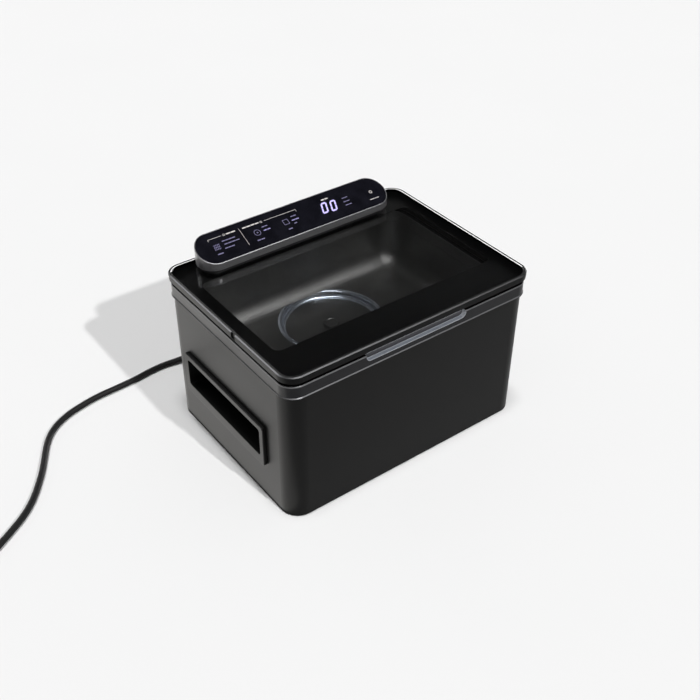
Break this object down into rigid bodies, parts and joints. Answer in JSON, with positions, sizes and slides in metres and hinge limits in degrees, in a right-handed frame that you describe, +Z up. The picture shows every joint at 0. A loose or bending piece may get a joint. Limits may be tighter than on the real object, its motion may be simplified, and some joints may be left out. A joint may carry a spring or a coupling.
{
  "type": "chamber vacuum sealer",
  "caption": "Countertop chamber vacuum sealer: boxy body with hand pockets, hinged glass lid with control console, steel chamber, lifting seal bar, pump inside.",
  "frame": {"origin": "centre of the machine's outline on the table, hinge knuckles included, power cord left out", "axes": "+X along the width, the finger pull faces -Y, the hinges and cord are at +Y, +Z is up"},
  "size_m": [0.7746, 0.3494, 0.2438],
  "materials": {
    "shell_paint": "matte fine-textured powder coat",
    "bezel_plastic": "matte moulded face, glossy edges",
    "trim_plastic": "fine moulded texture",
    "deck_plastic": "satin with polished edges",
    "lid_metal": "satin black with bright edge",
    "lid_glass": "clear tempered, black printed border",
    "console_metal": "satin dark anodised",
    "console_face": "black glass with lit graphics",
    "chamber_steel": "satin",
    "bright_steel": "bright plated",
    "black_steel": "satin black",
    "cast_aluminium": "as cast or extruded",
    "brass": "machined",
    "copper": "enamelled wire",
    "iron": "laminated",
    "black_rubber": "matte",
    "red_silicone": "matte",
    "circuit_board": "solder mask",
    "dark_parts": "moulded",
    "white_plastic": "moulded",
    "heater": "resistance wire on insulator",
    "tape": "coated glass cloth",
    "cord_rubber": "satin black jacket"
  },
  "bodies": {
    "housing": {"base_pan": "trim_plastic", "feet": "black_rubber", "foot_screws": "bright_steel", "housing_shell": "shell_paint", "rear_panel": "trim_plastic", "case_screws": "bright_steel", "handle_bezel_left": "bezel_plastic", "handle_bezel_right": "bezel_plastic", "deck_frame": "deck_plastic", "chamber_tub": "chamber_steel", "intake_filter_cap": "chamber_steel", "intake_fitting": "brass", "chamber_gasket": "black_rubber", "lift_cylinders": "chamber_steel", "pump_bracket": "black_steel", "pump_mounts": "black_rubber", "motor_can": "black_steel", "motor_stator": "copper", "pump_crankcase": "cast_aluminium", "pump_heads": "cast_aluminium", "exhaust_muffler": "brass", "vacuum_hose": "black_rubber", "pump_hose": "black_rubber", "valve_body": "brass", "valve_coil": "dark_parts", "valve_spring": "bright_steel", "transformer_core": "iron", "transformer_coil": "copper", "power_board": "circuit_board", "board_standoffs": "white_plastic", "board_components": "dark_parts", "fan_frame": "trim_plastic", "mains_terminal": "white_plastic", "reed_switch": "white_plastic", "hinge_brackets": "black_steel", "hinge_pins": "bright_steel", "torsion_springs": "bright_steel", "cord_gland": "cord_rubber", "power_cord": "cord_rubber", "cord_coil": "cord_rubber", "plug_body": "cord_rubber", "plug_blades": "brass"},
    "lid": {"lid_rim": "lid_metal", "lid_glass": "lid_glass", "press_bar_holder": "cast_aluminium", "press_bar_rubber": "red_silicone", "hinge_leaves": "black_steel", "lid_magnet": "bright_steel", "console_base": "trim_plastic", "console_band": "console_metal", "console_glass": "console_face", "console_board": "circuit_board"},
    "seal_bar": {"seal_bar_body": "cast_aluminium", "heater_strip": "heater", "bar_tape": "tape", "lift_rods": "bright_steel"},
    "pump_shaft": {"pump_rotor": "bright_steel"},
    "fan_wheel": {"fan_rotor": "dark_parts"},
    "plunger": {"valve_plunger": "bright_steel"}
  },
  "joints": [
    {"name": "lid_hinge", "type": "hinge", "parent": "housing", "child": "lid", "pos_m": [0, 0.13375, 0.1985], "axis": [-1, 0, 0], "range_deg": [0, 68]},
    {"name": "seal_bar_lift", "type": "slide", "parent": "housing", "child": "seal_bar", "axis": [0, 0, 1], "range_m": [0, 0.006]},
    {"name": "pump_spin", "type": "hinge", "parent": "housing", "child": "pump_shaft", "pos_m": [0, 0.06075, 0.045], "axis": [1, 0, 0], "continuous": true},
    {"name": "fan_spin", "type": "hinge", "parent": "housing", "child": "fan_wheel", "pos_m": [0.105, 0.11475, 0.047], "axis": [0, 1, 0], "continuous": true},
    {"name": "valve_lift", "type": "slide", "parent": "housing", "child": "plunger", "axis": [0, 0, 1], "range_m": [0, 0.003], "stiffness_N_per_m": 100, "springref_m": -0.002, "deforming": ["valve_spring"]}
  ]
}
